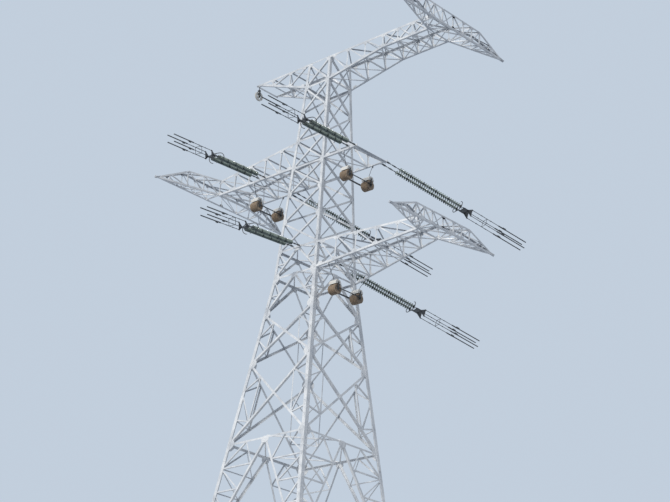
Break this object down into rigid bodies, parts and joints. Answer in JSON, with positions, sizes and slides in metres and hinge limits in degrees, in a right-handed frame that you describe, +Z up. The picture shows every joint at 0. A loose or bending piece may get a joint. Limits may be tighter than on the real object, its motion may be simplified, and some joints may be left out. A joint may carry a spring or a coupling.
{
  "type": "lattice power line tower",
  "caption": "Lattice steel strain tower with arms at three levels, insulator strings that hold the line, and hanging stringing blocks.",
  "frame": {"origin": "on the ground, at the middle of the four feet", "axes": "+X along the crossarms to the right, +Y along the line away from the viewer, +Z up"},
  "size_m": [20.6524, 25.2095, 34.2752],
  "materials": {
    "galvanised_steel": "weathered matt zinc",
    "fitting_steel": "dark weathered zinc",
    "painted_block_steel": "worn pale paint",
    "toughened_glass": "glossy grey green",
    "sheave_nylon": "worn tan nylon"
  },
  "bodies": {
    "tower": {"back_bracing_high": "galvanised_steel", "back_bracing_low": "galvanised_steel", "block_hangers": "galvanised_steel", "earth_arm_lacing": "galvanised_steel", "earth_arm_sides": "galvanised_steel", "foot_bracing": "galvanised_steel", "front_bracing_high": "galvanised_steel", "front_bracing_low": "galvanised_steel", "left_bracing_high": "galvanised_steel", "left_bracing_low": "galvanised_steel", "leg_back_left": "galvanised_steel", "leg_back_right": "galvanised_steel", "leg_front_left": "galvanised_steel", "leg_front_right": "galvanised_steel", "lower_arm_end_frame": "galvanised_steel", "lower_arm_lacing": "galvanised_steel", "lower_arm_sides": "galvanised_steel", "mid_arm_end_frame": "galvanised_steel", "mid_arm_lacing": "galvanised_steel", "mid_arm_sides": "galvanised_steel", "plan_bracing": "galvanised_steel", "right_bracing_high": "galvanised_steel", "right_bracing_low": "galvanised_steel", "short_arm_lacing": "galvanised_steel", "short_arm_sides": "galvanised_steel", "string_brackets": "galvanised_steel", "top_arm_end_frame": "galvanised_steel", "top_arm_lacing": "galvanised_steel", "top_arm_sides": "galvanised_steel"},
    "string_right_front": {"discs_right_front": "toughened_glass", "fittings_right_front": "fitting_steel"},
    "string_right_back": {"discs_right_back": "toughened_glass", "fittings_right_back": "fitting_steel"},
    "string_left_front": {"discs_left_front": "toughened_glass", "fittings_left_front": "fitting_steel"},
    "string_left_back": {"discs_left_back": "toughened_glass", "fittings_left_back": "fitting_steel"},
    "string_middle_front": {"discs_middle_front": "toughened_glass", "fittings_middle_front": "fitting_steel"},
    "string_middle_back": {"discs_middle_back": "toughened_glass", "fittings_middle_back": "fitting_steel"},
    "blocks_front": {"block_pair_front": "painted_block_steel"},
    "wheels_front_front": {"sheaves_front_front": "sheave_nylon"},
    "wheels_front_back": {"sheaves_front_back": "sheave_nylon"},
    "blocks_left": {"block_pair_left": "painted_block_steel"},
    "wheels_left_front": {"sheaves_left_front": "sheave_nylon"},
    "wheels_left_back": {"sheaves_left_back": "sheave_nylon"},
    "blocks_low": {"block_pair_low": "painted_block_steel"},
    "wheels_low_front": {"sheaves_low_front": "sheave_nylon"},
    "wheels_low_back": {"sheaves_low_back": "sheave_nylon"},
    "block_earth": {"earth_block": "painted_block_steel"},
    "wheel_earth": {"earth_block_wheel": "sheave_nylon"}
  },
  "joints": [
    {"name": "string_right_front_swing", "type": "hinge", "parent": "tower", "child": "string_right_front", "pos_m": [4, -1.5995, 26.48], "axis": [-0.9563, -0.2924, 0], "range_deg": [-12, 8]},
    {"name": "string_right_back_swing", "type": "hinge", "parent": "tower", "child": "string_right_back", "pos_m": [4, 1.5995, 26.48], "axis": [0.9563, -0.2924, 0], "range_deg": [-12, 8]},
    {"name": "string_left_front_swing", "type": "hinge", "parent": "tower", "child": "string_left_front", "pos_m": [-4.1, -1.5995, 26.48], "axis": [-0.9563, -0.2924, 0], "range_deg": [-12, 8]},
    {"name": "string_left_back_swing", "type": "hinge", "parent": "tower", "child": "string_left_back", "pos_m": [-4.1, 1.5995, 26.48], "axis": [0.9563, -0.2924, 0], "range_deg": [-12, 8]},
    {"name": "string_middle_front_swing", "type": "hinge", "parent": "tower", "child": "string_middle_front", "pos_m": [0, -1.92925, 20.425], "axis": [-0.9563, -0.2924, 0], "range_deg": [-12, 8]},
    {"name": "string_middle_back_swing", "type": "hinge", "parent": "tower", "child": "string_middle_back", "pos_m": [0, 1.92925, 20.425], "axis": [0.9563, -0.2924, 0], "range_deg": [-12, 8]},
    {"name": "blocks_front_swing", "type": "hinge", "parent": "tower", "child": "blocks_front", "pos_m": [3.15, 0, 26.315], "axis": [0, 1, 0], "range_deg": [-15, 15]},
    {"name": "wheels_front_front_spin", "type": "hinge", "parent": "blocks_front", "child": "wheels_front_front", "pos_m": [3.15, -1, 24.835], "axis": [1, 0, 0], "continuous": true},
    {"name": "wheels_front_back_spin", "type": "hinge", "parent": "blocks_front", "child": "wheels_front_back", "pos_m": [3.15, 1, 24.835], "axis": [1, 0, 0], "continuous": true},
    {"name": "blocks_left_swing", "type": "hinge", "parent": "tower", "child": "blocks_left", "pos_m": [-5, 0, 26.315], "axis": [0, 1, 0], "range_deg": [-15, 15]},
    {"name": "wheels_left_front_spin", "type": "hinge", "parent": "blocks_left", "child": "wheels_left_front", "pos_m": [-5, -1, 24.835], "axis": [1, 0, 0], "continuous": true},
    {"name": "wheels_left_back_spin", "type": "hinge", "parent": "blocks_left", "child": "wheels_left_back", "pos_m": [-5, 1, 24.835], "axis": [1, 0, 0], "continuous": true},
    {"name": "blocks_low_swing", "type": "hinge", "parent": "tower", "child": "blocks_low", "pos_m": [2.77, 0, 18.59644], "axis": [0, 1, 0], "range_deg": [-15, 8]},
    {"name": "wheels_low_front_spin", "type": "hinge", "parent": "blocks_low", "child": "wheels_low_front", "pos_m": [2.77, -1, 17.11644], "axis": [1, 0, 0], "continuous": true},
    {"name": "wheels_low_back_spin", "type": "hinge", "parent": "blocks_low", "child": "wheels_low_back", "pos_m": [2.77, 1, 17.11644], "axis": [1, 0, 0], "continuous": true},
    {"name": "block_earth_swing", "type": "hinge", "parent": "tower", "child": "block_earth", "pos_m": [-5.8, -0.92307, 34.12372], "axis": [0, 1, 0], "range_deg": [-15, 15]},
    {"name": "wheel_earth_spin", "type": "hinge", "parent": "block_earth", "child": "wheel_earth", "pos_m": [-5.8, -0.92307, 33.42372], "axis": [1, 0, 0], "continuous": true}
  ]
}
